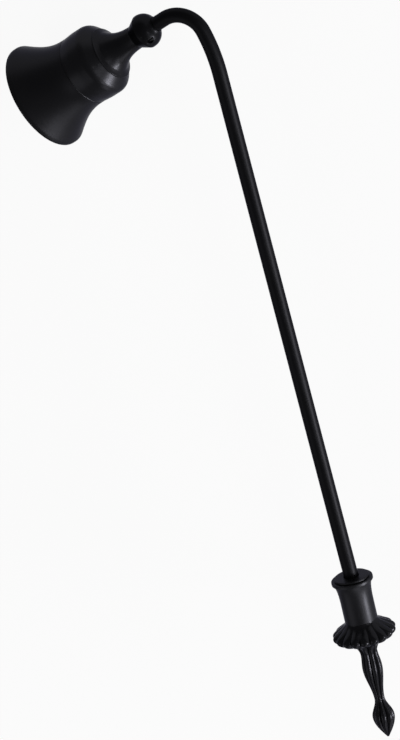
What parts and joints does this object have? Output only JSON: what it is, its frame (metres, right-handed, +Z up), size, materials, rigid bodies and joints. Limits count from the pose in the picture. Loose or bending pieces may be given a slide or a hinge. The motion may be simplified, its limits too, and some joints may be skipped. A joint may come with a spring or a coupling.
{
  "type": "candle snuffer",
  "caption": "Black candle snuffer: a flared bell on a turned neck and knop, a hooked round rod, and a handle with a lobed collar and a fluted drop ending in a bud.",
  "frame": {"origin": "Centre of the bell's mouth, in the plane of its rim.", "axes": "+Y along the bell's axis from the mouth to the knop, +X the long way towards the handle, +Z up with the snuffer lying on its side; the hook and the handle lie in the XY plane."},
  "size_m": [0.2969, 0.1238, 0.041],
  "materials": {
    "bell_black": "satin black paint on spun metal",
    "turned_black": "satin black paint on turned metal",
    "rod_black": "satin black paint on a drawn rod",
    "cast_black": "satin black paint on cast metal",
    "steel_black": "blackened steel",
    "steel": "bare steel fasteners"
  },
  "bodies": {
    "root": {"bell_skirt": "bell_black", "bell_cap": "bell_black", "crown_washer": "steel", "crown_screw": "steel", "neck": "turned_black", "knop": "turned_black", "grub_screw": "steel_black", "rod": "rod_black", "ferrule": "turned_black", "barrel": "turned_black", "collar": "cast_black", "lock_washer": "steel", "lock_nut": "steel", "drop": "cast_black"}
  },
  "joints": []
}
